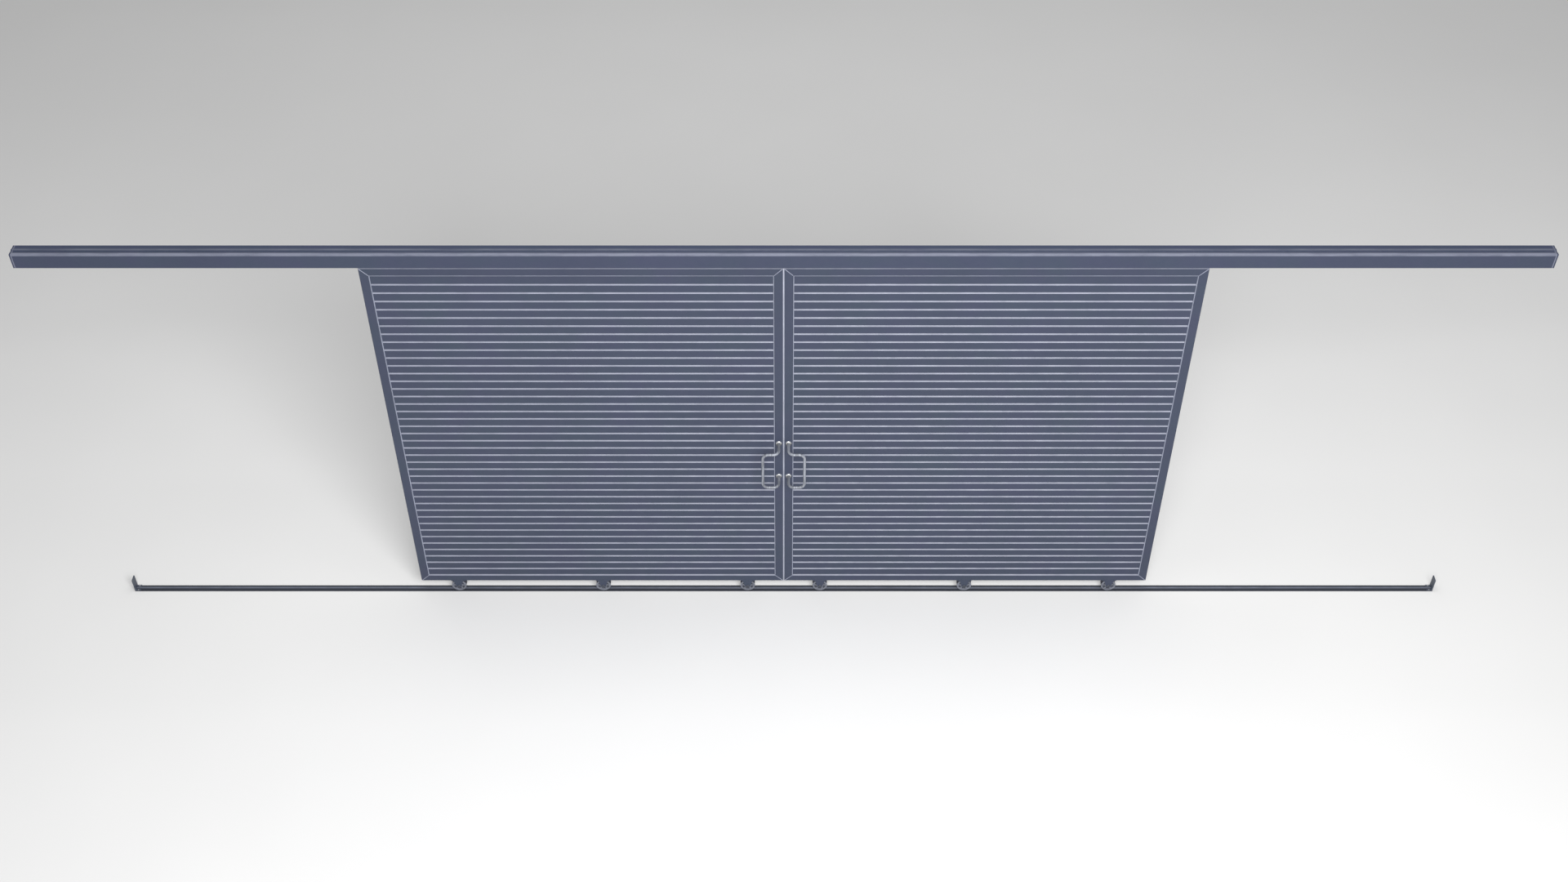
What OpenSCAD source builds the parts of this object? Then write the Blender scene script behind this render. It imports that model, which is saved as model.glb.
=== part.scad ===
// A pair of sliding doors with an overhead guide box and a floor rail.
// Frame: X along the rails, -Y towards the handle side, +Z up.
// Origin: centre of the floor track's underside, on the floor.

/* [Leaves] */
// Width of one leaf, from the meeting line to its outer edge
leaf_w = 2000; // [1600:10:2400]
// Thickness of a leaf, front face to back face
leaf_t = 45; // [43:1:50]
// Face width of the frame around each leaf
frame_w = 44; // [42:1:60]
// Wall of the hollow frame section
frame_wall = 3; // [2:0.5:4]
// Number of slats in a leaf
slat_count = 41; // [20:1:45]
// Height that each slat covers
slat_pitch = 52.2; // [45:0.1:70]
// Thickness of a slat
slat_t = 20; // [18:1:22]
// Height that the top slat shows beyond the pitch
top_slat_extra = 9.8; // [0:0.2:30]
// Depth of the V cut along the foot of each slat
v_depth = 5; // [3:0.5:6]
// Gap between the two closed leaves
meeting_gap = 4; // [2:1:10]
// Height of the leaf's underside above the floor
leaf_z = 94; // [92:1:120]

/* [Guide box] */
// Length of the box and of the floor track
box_l = 7214; // [6800:2:9000]
// Depth of the box, fascia to back wall
box_d = 72; // [70:1:90]
// Height of the box
box_h = 81; // [78:1:110]
// Gap between a leaf's top and the box
head_gap = 14; // [10:1:30]
// Thickness of an end cap
cap_t = 9; // [4:0.5:10]
// Width of the slot that the guide rollers run in
slot_w = 29.5; // [29:0.1:32]

/* [Floor track] */
// Width of the track's base
track_w = 40; // [36:1:60]
// Thickness of the track's base
track_t = 4; // [3.5:0.5:6]
// Radius of the half-round rail
rail_r = 8; // [6:0.5:8]
// Height of an end stop's top above the floor
stop_top = 88; // [60:1:90]
// Thickness of an end stop's plate
stop_t = 6; // [4:1:10]

/* [Wheels] */
// Radius over the wheel's flanges
wheel_r = 40; // [38:1:40]
// Width of a wheel
wheel_w = 34; // [30:1:34]
// Distance of the outer wheels from the ends of a leaf
wheel_inset = 200; // [120:10:280]
// Radius of an axle bolt
axle_r = 6; // [5:0.5:6]

/* [Handles] */
// Radius of the handle's bar
bar_r = 7; // [6:0.5:9]
// Distance between the two legs of a handle
grip_span = 240; // [160:5:400]
// Height of a handle's centre above the floor
handle_z = 1048; // [900:1:1200]
// Distance from the leaf's face to the grip's centre line
handle_reach = 84; // [60:1:110]
// Sideways distance from the legs to the grip
handle_side = 82; // [72:1:120]
// Centre line radius of the handle's bends
bend_r = 30; // [18:1:34]
// Radius of a rosette
rosette_r = 16; // [14:0.5:20]

/* [Hidden] */
$fn = 48;
LEFT = -1;
RIGHT = 1;

// Clearances
eps = 1;             // overshoot of a cutting shape
fit = 0.2;           // gap between parts that slide together
screw_gap = 0.1;     // radial gap around a screw
run_gap = 0.05;      // radial gap of a shaft in its bore
tread_gap = 0.3;     // gap between a tread and the rail

// Leaf
slat_sink = 3;                     // how far the lowest slat starts below the rail's edge
leaf_h = slat_count * slat_pitch + top_slat_extra + 2 * frame_w - slat_sink;
leaf_top = leaf_z + leaf_h;
leaf_x = meeting_gap / 2;          // inner edge of the right leaf
leaf_l = leaf_w - leaf_x;          // its own width
face_y = -leaf_t / 2;              // front face of a leaf
edge_c = 2;                        // chamfer on the frame's long edges
lip_t = 2;                         // lip in front of the slats
groove_d = 15;                     // depth of the slat groove
mitre_v = 2;                       // depth of the V along each mitre
slat_y = face_y + lip_t + fit;     // front face of the slats
slat_back = slat_y + slat_t;
slat_hold = 12;                    // how far a slat enters the groove
top_hold = 8;                      // how far the top slat enters its groove, without its tongue
slat_wall = 1.6;
slat_gap = 0.15;                   // half the gap between two slats
slat_nose = 1;                     // flat below the V cut
tongue_t = 6;
tongue_h = 5.5;
key_l = 80;                        // leg of a corner key
seal_y = [face_y + 1.5, face_y + 21.5];
seal_gap = 0.5;                    // gap between the seal and the left leaf
post_w = 40;                       // width of the back post

// Guide box
box_z = leaf_top + head_gap;       // underside of the box
box_top = box_z + box_h;
box_y = box_d / 2;
skin_t = 3;                        // walls, fascia and raised ribs
step_z = box_top - skin_t;         // top of the channel beside its rib
roof_t = 6;                        // thickness of the channel's roof
chan_l = box_l - 2 * cap_t;
flange_y = -box_y + 15.4;          // back edge of the fascia's flange
rib_y = [-3, 9];                   // raised rib on the roof
slit_y = [-12, -6];                // groove in the roof
port_z = box_z + 37;               // height of the screw ports
port_web = 10;
port_r = 2.1;
hook_h = 6;                        // fascia's hook rib
hook_d = 2;
wall_hole_r = 3.5;
access_r = 7;
wall_hole_z = box_top - 24;
wall_hole_x = [450, 1350, 2250, 3150];
cap_screw_y = [-(slot_w / 2 + box_y) / 2 + 1, (slot_w / 2 + box_y) / 2];
cap_screw_r = 2;

// Floor track
rail_top = track_t + rail_r;
track_hole_x = [300, 900, 1500, 2100, 2700, 3300];
track_hole_y = 14.5;
track_hole_r = 2.75;
sink_r = 5.25;                     // top of a countersink
foot_l = 24;                       // end stop's foot
foot_t = 4;
foot_slot = 2 * rail_r + 2;
stop_screw_r = 2;

// Wheels and brackets
tread_r = wheel_r - 6.3;
wheel_z = rail_top + tread_gap + tread_r;
wheel_x = [wheel_inset, leaf_w / 2, leaf_w - wheel_inset];
seat_r = 16;                       // bearing seat
bearing_y = [3, 12.8];
cheek_t = 3;
cheek_y = 19;                      // inner face of a bracket's cheek
bracket_w = 76;                    // length of a bracket's top plate
cheek_w = 56;                      // width of a cheek at its top
bracket_t = 4;                     // bracket's top plate
bracket_end_r = 13.5;
bracket_bolt = [32, 12];
bracket_screw_r = 3;
head_r = 10.5;                     // axle bolt's button head
head_h = 4;
head_edge = 1;                     // height of the head's straight edge
socket_af = 6;                     // across the flats of the head's socket
socket_d = 2.4;
nut_af = 18;
nut_h = 10;

// Guide rollers
guide_x = [300, leaf_w - 300];
roller_r = 14;
roller_h = 20;
roller_z = box_z + 9;
pin_r = 5;
collar_r = 8;
plate_t = 4;

// Handles
leg_x = 25;
rosette_t = 8;
rosette_edge = 5;                  // radius of a rosette's rounded edge
handle_bolt_r = 4;
bolt_depth = 25;

// ---------- shared shapes ----------

// The right leaf's parts, or their mirror image for the left leaf
module on_side(side) {
    if (side == LEFT) mirror([1, 0, 0]) children();
    else children();
}

// Extrudes a section drawn in Y and Z along X, from x = 0
module along_x(l) {
    rotate([90, 0, 90]) linear_extrude(l) children();
}

// Extrudes an outline drawn in X and Z along Y, from y0 to y1
module along_y(y0, y1) {
    translate([0, y1, 0]) rotate([90, 0, 0]) linear_extrude(y1 - y0) children();
}

// Cylinder along Y from y0 to y1
module bar_y(r, y0, y1) {
    translate([0, y1, 0]) rotate([90, 0, 0]) cylinder(r = r, h = y1 - y0);
}

// Solid of revolution around Y, drawn as radius and Y
module around_y() {
    rotate([-90, 0, 0]) rotate_extrude() children();
}

// Rectangle with its four corners cut at 45 degrees
module cut_rect(x0, x1, y0, y1, c) {
    polygon([
        [x0 + c, y0], [x1 - c, y0], [x1, y0 + c], [x1, y1 - c],
        [x1 - c, y1], [x0 + c, y1], [x0, y1 - c], [x0, y0 + c]
    ]);
}

// Countersunk screw along -X, its flat head at x = 0
module sunk_screw_x(r, l, side) {
    rotate([0, -90 * side, 0]) {
        cylinder(r1 = 2 * r, r2 = r, h = r);
        cylinder(r = r, h = l);
    }
}

// ---------- leaf frame ----------

// Hollow frame section: Y across, u from the outer edge inwards
module frame_section() {
    groove_y = slat_y - fit;
    groove_back = slat_back + fit;
    difference() {
        cut_rect(face_y, -face_y, 0, frame_w, edge_c);
        translate([groove_y, frame_w - groove_d])
            square([groove_back - groove_y, groove_d + eps]);
        translate([face_y + frame_wall, frame_wall])
            square([leaf_t - 2 * frame_wall, frame_w - groove_d - 2 * frame_wall]);
        translate([groove_back + frame_wall, frame_w - groove_d])
            square([-face_y - groove_back - 2 * frame_wall, groove_d - frame_wall]);
    }
}

// V cut along the mitre that starts at the origin, on the face at y
module mitre_cut(y) {
    side = mitre_v * sqrt(2);
    translate([0, y, 0]) rotate([0, -45, 0]) rotate([45, 0, 0])
        cube([4 * frame_w, side, side], center = true);
}

// Frame member along X with mitred ends, its outer edge at z = 0
module frame_member(l) {
    difference() {
        along_x(l) frame_section();
        for (end = [0, 1])
            translate([end * l, 0, 0]) mirror([end, 0, 0]) {
                along_y(-leaf_t, leaf_t)
                    polygon([[-eps, -eps], [0, 0], [frame_w + eps, frame_w + eps], [-eps, frame_w + eps]]);
                for (y = [face_y, -face_y]) mitre_cut(y);
            }
    }
}

// Swaps X and Z, to stand a member up
module upright() {
    mirror([1, 0, -1]) children();
}

module top_rail(side) {
    color("#555b71") on_side(side) difference() {
        translate([leaf_x, 0, leaf_top]) mirror([0, 0, 1]) frame_member(leaf_l);
        for (x = guide_x)
            translate([x, 0, leaf_top - frame_wall - eps])
                cylinder(r = pin_r + screw_gap, h = frame_wall + 2 * eps);
    }
}

module bottom_rail(side) {
    color("#4a5163") on_side(side) difference() {
        translate([leaf_x, 0, leaf_z]) frame_member(leaf_l);
        for (x = wheel_x, sx = [-1, 1], sy = [-1, 1])
            translate([x + sx * bracket_bolt[0], sy * bracket_bolt[1], leaf_z - eps])
                cylinder(r = bracket_screw_r + screw_gap, h = frame_wall + 2 * eps);
    }
}

module outer_stile(side) {
    color("#4d566a") on_side(side)
        translate([leaf_w, 0, leaf_z]) mirror([1, 0, 0]) upright() frame_member(leaf_h);
}

module meeting_stile(side) {
    color("#4d566a") on_side(side) difference() {
        translate([leaf_x, 0, leaf_z]) upright() frame_member(leaf_h);
        for (sz = [-1, 1])
            translate([leg_x, 0, handle_z + sz * grip_span / 2])
                bar_y(handle_bolt_r + screw_gap, face_y - eps, -face_y + eps);
    }
}

// L-shaped keys that join the hollow members inside their mitres
module corner_keys(side) {
    lo = frame_wall + fit;
    hi = frame_w - groove_d - frame_wall - fit;
    color("#b9bcc2") on_side(side)
        for (sx = [0, 1], sz = [0, 1])
            translate([sx ? leaf_w : leaf_x, 0, sz ? leaf_top : leaf_z])
                mirror([sx, 0, 0]) mirror([0, 0, sz])
                    along_y(face_y + lo, -face_y - lo)
                        polygon([[lo, lo], [key_l, lo], [key_l, hi], [hi, hi], [hi, key_l], [lo, key_l]]);
}

// One slat's section: a V cut near its foot, a tongue on top, a groove below
module slat_section(h) {
    mid = (slat_y + slat_back) / 2;
    top = h - slat_gap;
    tongue = tongue_t / 2;
    slot = tongue + 2 * slat_gap;
    slot_top = tongue_h + 1;
    v_top = slat_nose + 2 * v_depth;
    difference() {
        polygon([
            [slat_y, slat_gap], [slat_y, slat_nose], [slat_y + v_depth, slat_nose + v_depth],
            [slat_y, v_top], [slat_y, top],
            [mid - tongue, top], [mid - tongue, h + tongue_h],
            [mid + tongue, h + tongue_h], [mid + tongue, top],
            [slat_back, top], [slat_back, slat_gap],
            [mid + slot, slat_gap], [mid + slot, slot_top],
            [mid - slot, slot_top], [mid - slot, slat_gap]
        ]);
        translate([slat_y + slat_wall, v_top + slat_wall])
            square([slat_t - 2 * slat_wall, top - v_top - 2 * slat_wall]);
    }
}

module slats(side) {
    x0 = leaf_x + frame_w - slat_hold;
    x1 = leaf_w - frame_w + slat_hold;
    last = slat_count - 1;
    foot = groove_d - slat_sink - fit;
    color("#4d566a") on_side(side)
        for (i = [0 : last])
            translate([x0, 0, leaf_z + frame_w - slat_sink + i * slat_pitch])
                along_x(x1 - x0) {
                    slat_section(slat_pitch + (i == last ? top_slat_extra + top_hold : 0));
                    if (i == 0) translate([slat_y, -foot]) square([slat_t, foot + slat_nose]);
                }
}

// Strip on the right leaf's edge that closes the gap between the leaves
module meeting_seal() {
    color("#a9adb8") translate([0, 0, leaf_z]) linear_extrude(leaf_h)
        cut_rect(-leaf_x + seal_gap, leaf_x, seal_y[0], seal_y[1], 1);
}

// Hollow post behind the slats, between the rails
module back_post(side) {
    y0 = slat_back + 0.3;
    y1 = -face_y;
    color("#4a5163") on_side(side)
        translate([leaf_w / 2, 0, leaf_z + frame_w]) linear_extrude(leaf_h - 2 * frame_w)
            difference() {
                cut_rect(-post_w / 2, post_w / 2, y0, y1, 1);
                translate([-post_w / 2 + frame_wall, y0 + frame_wall])
                    square([post_w - 2 * frame_wall, y1 - y0 - 2 * frame_wall]);
            }
}

// ---------- wheels ----------

// Cheek outline: wide at the leaf, tangent to a round end at the axle
module cheek_outline() {
    h = leaf_z - wheel_z;
    half = cheek_w / 2;
    a = atan2(h, half) - acos(bracket_end_r / norm([half, h]));
    tx = bracket_end_r * cos(a);
    tz = bracket_end_r * sin(a);
    union() {
        polygon([[-half, h], [half, h], [tx, tz], [-tx, tz]]);
        circle(r = bracket_end_r);
    }
}

module wheel_brackets(side) {
    color("#4f5668") on_side(side)
        for (x = wheel_x)
            translate([x, 0, 0]) difference() {
                union() {
                    for (y = [-cheek_y - cheek_t, cheek_y])
                        translate([0, 0, wheel_z]) along_y(y, y + cheek_t) cheek_outline();
                    translate([-bracket_w / 2, -cheek_y - cheek_t, leaf_z - bracket_t])
                        cube([bracket_w, 2 * (cheek_y + cheek_t), bracket_t]);
                }
                translate([0, 0, wheel_z]) bar_y(axle_r + screw_gap, -leaf_t, leaf_t);
                for (sx = [-1, 1], sy = [-1, 1])
                    translate([sx * bracket_bolt[0], sy * bracket_bolt[1], leaf_z - bracket_t - eps])
                        cylinder(r = bracket_screw_r + screw_gap, h = bracket_t + 2 * eps);
            }
}

module bracket_screws(side) {
    head_t = 3;
    z0 = leaf_z - bracket_t;
    color("#b9bcc2") on_side(side)
        for (x = wheel_x, sx = [-1, 1], sy = [-1, 1])
            translate([x + sx * bracket_bolt[0], sy * bracket_bolt[1], z0]) {
                difference() {
                    translate([0, 0, -head_t]) cylinder(r = 5, h = head_t);
                    translate([0, 0, -head_t - eps]) cylinder(r = 2, h = head_t - 1 + eps, $fn = 6);
                }
                cylinder(r = bracket_screw_r, h = bracket_t + frame_wall + 8);
            }
}

// Half section of a button head: an arc from its straight edge to a flat round the socket
module button_head() {
    flat_r = socket_af / 2 + 1.2;
    rise = head_h - head_edge;
    dome_r = (rise * rise + pow(head_r - flat_r, 2)) / (2 * rise);
    intersection() {
        translate([0, -head_h]) square([head_r, head_h]);
        union() {
            translate([0, -head_edge]) square([head_r, head_edge]);
            translate([0, -head_h]) square([flat_r, head_h]);
            translate([flat_r, -head_h + dome_r]) circle(r = dome_r);
        }
    }
}

module axle_bolts(side) {
    y0 = -cheek_y - cheek_t;
    color("#9aa0ad") on_side(side)
        for (x = wheel_x)
            translate([x, 0, wheel_z]) {
                bar_y(axle_r, y0, cheek_y + cheek_t + nut_h + 2);
                difference() {
                    translate([0, y0, 0]) around_y() button_head();
                    translate([0, y0 - head_h + socket_d, 0]) rotate([90, 0, 0])
                        cylinder(r = socket_af / 2 / cos(30), h = socket_d + eps, $fn = 6);
                }
            }
}

module axle_nuts(side) {
    y0 = cheek_y + cheek_t;
    color("#9aa0ad") on_side(side)
        for (x = wheel_x)
            translate([x, 0, wheel_z]) difference() {
                translate([0, y0 + nut_h, 0]) rotate([90, 0, 0])
                    cylinder(r = nut_af / 2 / cos(30), h = nut_h, $fn = 6);
                bar_y(axle_r + run_gap, y0 - eps, y0 + nut_h + eps);
            }
}

// Rings that keep the bearings clear of the bracket's cheeks
module axle_spacers(side) {
    color("#b9bcc2") on_side(side)
        for (x = wheel_x, s = [-1, 1])
            translate([x, 0, wheel_z]) around_y()
                translate([axle_r + screw_gap, s > 0 ? bearing_y[1] + fit : -cheek_y])
                    square([3, cheek_y - bearing_y[1] - fit]);
}

module wheel(x) {
    half = wheel_w / 2;
    rim = wheel_r - 9;
    hub = seat_r + 4;
    groove_r = rail_r + 0.5;
    color("#6b7080") translate([x, 0, wheel_z]) around_y() difference() {
        polygon([
            [seat_r, -half + 2], [hub, -half + 2], [hub + 1, -half + 7], [rim - 1, -half + 7], [rim, -half],
            [wheel_r - 1, -half], [wheel_r, -half + 1], [wheel_r, half - 1], [wheel_r - 1, half],
            [rim, half], [rim - 1, half - 7], [hub + 1, half - 7], [hub, half - 2], [seat_r, half - 2]
        ]);
        translate([tread_r + groove_r, 0]) circle(r = groove_r);
    }
}

// Two ball bearings side by side in a wheel's hub
module bearings(x) {
    shield = [8.5, 13.5];
    color("#c3c6cc") translate([x, 0, wheel_z])
        for (s = [-1, 1])
            around_y() scale([1, s]) difference() {
                translate([axle_r + run_gap, bearing_y[0]])
                    square([seat_r - axle_r - run_gap, bearing_y[1] - bearing_y[0]]);
                translate([shield[0], bearing_y[1] - 0.8])
                    square([shield[1] - shield[0], 0.8 + eps]);
            }
}

// ---------- head guides ----------

module guide_plates(side) {
    color("#b9bcc2") on_side(side)
        for (x = guide_x)
            translate([x, 0, leaf_top]) difference() {
                translate([-30, -18, 0]) cube([60, 36, plate_t]);
                translate([0, 0, -eps]) cylinder(r = pin_r + screw_gap, h = plate_t + 2 * eps);
            }
}

// Shoulder bolts: thread in the rail, collar, pin for the roller, and a head
module guide_bolts(side) {
    z0 = leaf_top + plate_t;
    z1 = roller_z - fit;
    z2 = roller_z + roller_h + fit;
    color("#9aa0ad") on_side(side)
        for (x = guide_x)
            translate([x, 0, 0]) rotate_extrude() polygon([
                [0, leaf_top - 14], [pin_r, leaf_top - 14], [pin_r, z0], [collar_r, z0],
                [collar_r, z1], [pin_r, z1], [pin_r, z2], [collar_r, z2],
                [collar_r, z2 + 4], [collar_r - 1, z2 + 5], [0, z2 + 5]
            ]);
}

module guide_roller(x) {
    bore = pin_r + run_gap;
    color("#d8d8d4") translate([x, 0, roller_z]) rotate_extrude()
        polygon([
            [bore, 0], [roller_r - 2, 0], [roller_r, 2], [roller_r, roller_h - 2],
            [roller_r - 2, roller_h], [bore, roller_h]
        ]);
}

// ---------- handles ----------

// Quarter bend in the XY plane around the origin, from +X to +Y
module bend() {
    rotate_extrude(angle = 90) translate([bend_r, 0]) circle(r = bar_r);
}

// Upper half of a handle, from the leaf's face to the middle of the grip
module handle_half() {
    out_y = face_y - handle_reach;
    grip_x = leg_x + handle_side;
    half = grip_span / 2;
    translate([leg_x, 0, half]) bar_y(bar_r, out_y + bend_r, face_y);
    translate([leg_x + bend_r, out_y + bend_r, half]) rotate([0, 0, 180]) bend();
    translate([leg_x + bend_r, out_y, half]) rotate([0, 90, 0])
        cylinder(r = bar_r, h = handle_side - 2 * bend_r);
    translate([grip_x - bend_r, out_y, half - bend_r]) rotate([90, 0, 0]) bend();
    translate([grip_x, out_y, 0]) cylinder(r = bar_r, h = half - bend_r);
}

module handle(side) {
    color("#6f7583") on_side(side) translate([0, 0, handle_z]) difference() {
        union() {
            handle_half();
            mirror([0, 0, 1]) handle_half();
        }
        for (sz = [-1, 1])
            translate([leg_x, 0, sz * grip_span / 2])
                bar_y(handle_bolt_r + run_gap, face_y - bolt_depth - 2, face_y + eps);
    }
}

module handle_rosettes(side) {
    color("#9aa0ad") on_side(side)
        for (sz = [-1, 1])
            translate([leg_x, face_y, handle_z + sz * grip_span / 2]) around_y() {
                in_r = bar_r + fit;
                flat = rosette_r - rosette_edge;
                translate([in_r, -rosette_t]) square([flat - in_r, rosette_t]);
                translate([in_r, rosette_edge - rosette_t])
                    square([rosette_r - in_r, rosette_t - rosette_edge]);
                translate([flat, rosette_edge - rosette_t]) intersection() {
                    circle(r = rosette_edge);
                    translate([0, -rosette_edge]) square(rosette_edge);
                }
            }
}

// Bolts through the meeting stile into the handle's legs
module handle_bolts(side) {
    head_t = 5;
    color("#b9bcc2") on_side(side)
        for (sz = [-1, 1])
            translate([leg_x, 0, handle_z + sz * grip_span / 2]) {
                bar_y(handle_bolt_r, face_y - bolt_depth, -face_y);
                difference() {
                    bar_y(7, -face_y, -face_y + head_t);
                    translate([0, -face_y + head_t + eps, 0]) rotate([90, 0, 0])
                        cylinder(r = 3, h = head_t - 1, $fn = 6);
                }
            }
}

// ---------- guide box ----------

// Outer outline of the box, in Y and Z
module box_outline() {
    polygon([
        [-box_y, box_z], [box_y, box_z], [box_y, step_z], [rib_y[1], step_z],
        [rib_y[1], box_top], [rib_y[0], box_top], [rib_y[0], step_z], [flange_y, step_z],
        [flange_y, box_top], [-box_y + 2, box_top], [-box_y, box_top - 2]
    ]);
}

// Outline of the fascia, in Y and Z
module fascia_outline() {
    polygon([
        [-box_y, box_z], [-box_y + skin_t, box_z], [-box_y + skin_t, port_z - hook_h / 2],
        [-box_y + skin_t + hook_d, port_z - hook_h / 2], [-box_y + skin_t + hook_d, port_z + hook_h / 2],
        [-box_y + skin_t, port_z + hook_h / 2], [-box_y + skin_t, step_z], [flange_y, step_z],
        [flange_y, box_top - 1], [flange_y - 1, box_top], [-box_y + 2, box_top], [-box_y, box_top - 2]
    ]);
}

module channel_section() {
    wall = slot_w / 2 + skin_t;
    front = -box_y + skin_t;
    roof = step_z - roof_t;
    floor_z = box_z + skin_t;
    web0 = port_z - port_web / 2;
    web1 = port_z + port_web / 2;
    difference() {
        union() {
            translate([front, box_z]) square([box_y - front, step_z - box_z]);
            translate([rib_y[0], step_z - eps]) square([rib_y[1] - rib_y[0], skin_t + eps]);
        }
        translate([-slot_w / 2, box_z - eps]) square([slot_w, roof - box_z + eps]);
        translate([slit_y[0], step_z - skin_t]) square([slit_y[1] - slit_y[0], skin_t + eps]);
        for (z = [[floor_z, web0], [web1, roof]]) {
            translate([wall, z[0]]) square([box_y - skin_t - wall, z[1] - z[0]]);
            translate([front + skin_t + hook_d, z[0]])
                square([-wall - front - skin_t - hook_d, z[1] - z[0]]);
        }
        translate([front - eps, port_z - hook_h / 2]) square([hook_d + eps, hook_h]);
        for (y = cap_screw_y) translate([y, port_z]) circle(r = port_r);
    }
}

module top_channel() {
    color("#565d6f") difference() {
        translate([-chan_l / 2, 0, 0]) along_x(chan_l) channel_section();
        for (side = [LEFT, RIGHT], x = wall_hole_x)
            translate([side * x, 0, wall_hole_z]) {
                bar_y(wall_hole_r, 0, box_y + eps);
                bar_y(access_r, -box_y, box_y - skin_t);
            }
    }
}

module front_fascia() {
    color("#555c76") translate([-chan_l / 2, 0, 0]) along_x(chan_l) fascia_outline();
}

module end_cap(side) {
    color("#555c76") difference() {
        translate([side == LEFT ? -box_l / 2 : box_l / 2 - cap_t, 0, 0]) along_x(cap_t) box_outline();
        for (y = cap_screw_y)
            translate([side * box_l / 2, y, port_z]) rotate([0, -90 * side, 0]) {
                translate([0, 0, -eps]) cylinder(r = cap_screw_r + screw_gap, h = cap_t + 2 * eps);
                cylinder(r1 = 2 * cap_screw_r + screw_gap, r2 = cap_screw_r + screw_gap, h = cap_screw_r);
            }
    }
}

module end_cap_screws() {
    color("#b9bcc2")
        for (side = [LEFT, RIGHT], y = cap_screw_y)
            translate([side * box_l / 2, y, port_z]) sunk_screw_x(cap_screw_r, 22, side);
}

// ---------- floor track ----------

module floor_track() {
    color("#66697a") difference() {
        translate([-box_l / 2, 0, 0]) along_x(box_l) union() {
            translate([-track_w / 2, 0]) square([track_w, track_t]);
            intersection() {
                translate([0, track_t]) circle(r = rail_r);
                translate([-rail_r, track_t - 1]) square([2 * rail_r, rail_r + 2]);
            }
        }
        for (side = [LEFT, RIGHT], x = track_hole_x, sy = [-1, 1])
            translate([side * x, sy * track_hole_y, 0]) {
                translate([0, 0, -eps]) cylinder(r = track_hole_r, h = track_t + 2 * eps);
                translate([0, 0, track_t - 2.5]) cylinder(r1 = track_hole_r, r2 = sink_r, h = 2.5);
            }
        for (side = [LEFT, RIGHT], sy = [-1, 1])
            translate([side * (box_l / 2 - stop_t - foot_l / 2), sy * track_hole_y, -eps])
                cylinder(r = stop_screw_r + screw_gap, h = track_t + 2 * eps);
    }
}

// Upright plate on a foot that straddles the rail
module end_stop(side) {
    end = box_l / 2;
    color("#666c7d") mirror([side == LEFT ? 1 : 0, 0, 0]) difference() {
        union() {
            translate([end - stop_t, -track_w / 2, track_t]) cube([stop_t, track_w, stop_top - track_t]);
            translate([end - stop_t - foot_l, -track_w / 2, track_t]) cube([foot_l + 1, track_w, foot_t]);
        }
        translate([end - stop_t - foot_l - eps, -foot_slot / 2, 0])
            cube([foot_l + stop_t + 2 * eps, foot_slot, rail_top + 1]);
        for (sy = [-1, 1])
            translate([end - stop_t - foot_l / 2, sy * track_hole_y, track_t + foot_t]) mirror([0, 0, 1]) {
                translate([0, 0, -eps]) cylinder(r = stop_screw_r + screw_gap, h = foot_t + 2 * eps);
                cylinder(r1 = 2 * stop_screw_r + screw_gap, r2 = stop_screw_r + screw_gap, h = stop_screw_r);
            }
    }
}

module end_stop_screws() {
    color("#b9bcc2")
        for (side = [LEFT, RIGHT], sy = [-1, 1])
            translate([side * (box_l / 2 - stop_t - foot_l / 2), sy * track_hole_y, track_t + foot_t])
                mirror([0, 0, 1]) {
                    cylinder(r1 = 2 * stop_screw_r, r2 = stop_screw_r, h = stop_screw_r);
                    cylinder(r = stop_screw_r, h = track_t + foot_t - 0.5);
                }
}

// ---------- one line per node ----------

top_channel();
front_fascia();
end_cap(LEFT);  // left_end_cap
end_cap(RIGHT);  // right_end_cap
end_cap_screws();
floor_track();
end_stop(LEFT);  // left_end_stop
end_stop(RIGHT);  // right_end_stop
end_stop_screws();
top_rail(LEFT);  // left_top_rail
bottom_rail(LEFT);  // left_bottom_rail
outer_stile(LEFT);  // left_outer_stile
meeting_stile(LEFT);  // left_meeting_stile
slats(LEFT);  // left_slats
corner_keys(LEFT);  // left_corner_keys
back_post(LEFT);  // left_back_post
wheel_brackets(LEFT);  // left_wheel_brackets
bracket_screws(LEFT);  // left_bracket_screws
axle_bolts(LEFT);  // left_axle_bolts
axle_nuts(LEFT);  // left_axle_nuts
axle_spacers(LEFT);  // left_axle_spacers
guide_plates(LEFT);  // left_guide_plates
guide_bolts(LEFT);  // left_guide_bolts
handle(LEFT);  // left_handle
handle_rosettes(LEFT);  // left_handle_rosettes
handle_bolts(LEFT);  // left_handle_bolts
top_rail(RIGHT);  // right_top_rail
bottom_rail(RIGHT);  // right_bottom_rail
outer_stile(RIGHT);  // right_outer_stile
meeting_stile(RIGHT);  // right_meeting_stile
slats(RIGHT);  // right_slats
corner_keys(RIGHT);  // right_corner_keys
back_post(RIGHT);  // right_back_post
wheel_brackets(RIGHT);  // right_wheel_brackets
bracket_screws(RIGHT);  // right_bracket_screws
axle_bolts(RIGHT);  // right_axle_bolts
axle_nuts(RIGHT);  // right_axle_nuts
axle_spacers(RIGHT);  // right_axle_spacers
guide_plates(RIGHT);  // right_guide_plates
guide_bolts(RIGHT);  // right_guide_bolts
handle(RIGHT);  // right_handle
handle_rosettes(RIGHT);  // right_handle_rosettes
handle_bolts(RIGHT);  // right_handle_bolts
meeting_seal();  // right_meeting_seal
wheel(-wheel_x[0]);  // left_wheel_inner
wheel(-wheel_x[1]);  // left_wheel_middle
wheel(-wheel_x[2]);  // left_wheel_outer
wheel(wheel_x[0]);  // right_wheel_inner
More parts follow.
